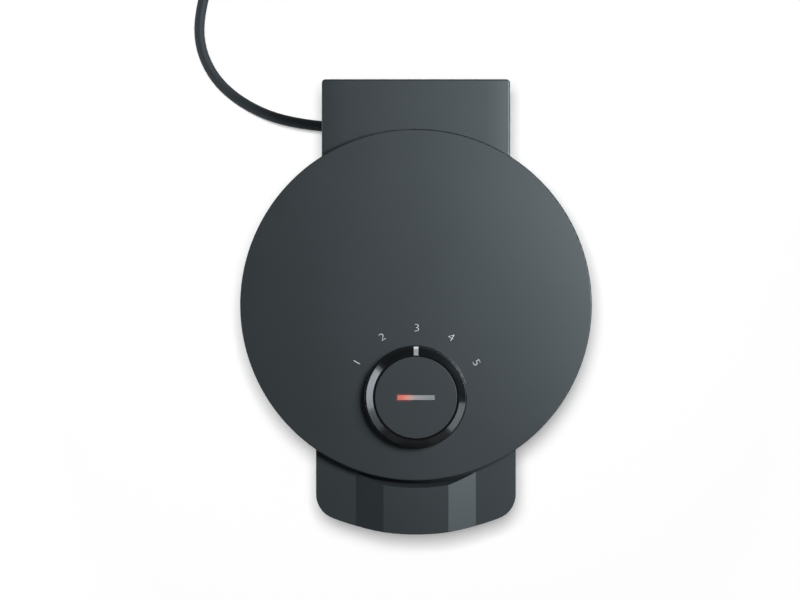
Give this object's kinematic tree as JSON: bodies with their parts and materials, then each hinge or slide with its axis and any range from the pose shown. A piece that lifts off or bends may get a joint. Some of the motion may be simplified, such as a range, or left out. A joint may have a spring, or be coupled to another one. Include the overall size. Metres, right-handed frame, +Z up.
{
  "type": "heart waffle maker",
  "caption": "Countertop waffle maker with a hinged round lid, heart-shaped baking cavities, a faceted front grip, a browning dial and a mains cord.",
  "frame": {"origin": "on the surface it stands on, under the middle of the footprint of the appliance without its cord", "axes": "+Z up, +Y towards the hinge at the rear, +X to the right seen from the front"},
  "size_m": [0.2569, 0.4416, 0.103],
  "materials": {
    "housing": "fine matte moulding",
    "foot_rubber": "matte",
    "cast_plate": "dark non-stick coating on cast aluminium",
    "element_steel": "heat-tinted steel tube",
    "terminal_steel": "bright",
    "spring_steel": "pressed sheet",
    "reflector_sheet": "bright sheet",
    "screw_steel": "zinc plated",
    "pin_steel": "ground",
    "relief_rubber": "matte",
    "cord_sheath": "satin cable sheath",
    "tie_band": "matte",
    "plug_rubber": "satin",
    "plug_metal": "nickel plated",
    "inner_plastic": "natural moulding",
    "block_ceramic": "unglazed",
    "lead_sleeving": "silicone sleeving",
    "woven_sleeve": "woven glass fibre",
    "thermostat_ceramic": "unglazed",
    "lamp_board": "laminate",
    "lamp_glass": "clear",
    "dial_cap": "fine matte moulding",
    "window_plastic": "frosted",
    "dial_gloss": "high gloss",
    "pointer_silver": "satin silver"
  },
  "bodies": {
    "base": {"base_shell": "housing", "rubber_feet": "foot_rubber", "lower_baking_plate": "cast_plate", "lower_heating_element": "element_steel", "lower_terminals": "terminal_steel", "lower_element_clips": "spring_steel", "lower_reflector": "reflector_sheet", "lower_plate_screws": "screw_steel", "hinge_pin_left": "pin_steel", "hinge_pin_right": "pin_steel", "cord_strain_relief": "relief_rubber", "cord_stub": "cord_sheath", "cord_clamp": "inner_plastic", "cord_clamp_screws": "screw_steel", "terminal_block": "block_ceramic", "lower_leads": "lead_sleeving", "hinge_lead_sleeve": "woven_sleeve", "mains_cord": "cord_sheath", "mains_cord_coil": "cord_sheath", "coil_tie": "tie_band", "plug_body": "plug_rubber", "plug_pins": "plug_metal"},
    "lid": {"lid_shell": "housing", "lid_disc": "housing", "upper_baking_plate": "cast_plate", "upper_heating_element": "element_steel", "upper_terminals": "terminal_steel", "upper_element_clips": "spring_steel", "upper_reflector": "reflector_sheet", "upper_plate_screws": "screw_steel", "thermostat": "thermostat_ceramic", "thermostat_bracket": "spring_steel", "bracket_screws": "screw_steel", "upper_leads": "lead_sleeving", "dial_carrier": "inner_plastic", "lamp_board": "lamp_board", "indicator_lamps": "lamp_glass", "dial_cap": "dial_cap", "indicator_window": "window_plastic"},
    "dial": {"dial_ring": "dial_gloss", "dial_pointer": "pointer_silver"},
    "spindle": {"thermostat_spindle": "pin_steel", "spindle_pinion": "inner_plastic"}
  },
  "joints": [
    {"name": "lid_hinge", "type": "hinge", "parent": "base", "child": "lid", "pos_m": [0, 0.13267, 0.05], "axis": [-1, 0, 0], "range_deg": [0, 100], "deforming": ["hinge_lead_sleeve"]},
    {"name": "dial_turn", "type": "hinge", "parent": "lid", "child": "dial", "pos_m": [0, -0.05647, 0.0924], "axis": [0, 0, 1], "range_deg": [-60, 60]},
    {"name": "spindle_turn", "type": "hinge", "parent": "lid", "child": "spindle", "pos_m": [0, -0.04247, 0.0924], "axis": [0, 0, 1], "range_deg": [-144, 144]}
  ],
  "couplings": [
    {"joint": "spindle_turn", "follows": "dial_turn", "ratio": 2.4}
  ]
}
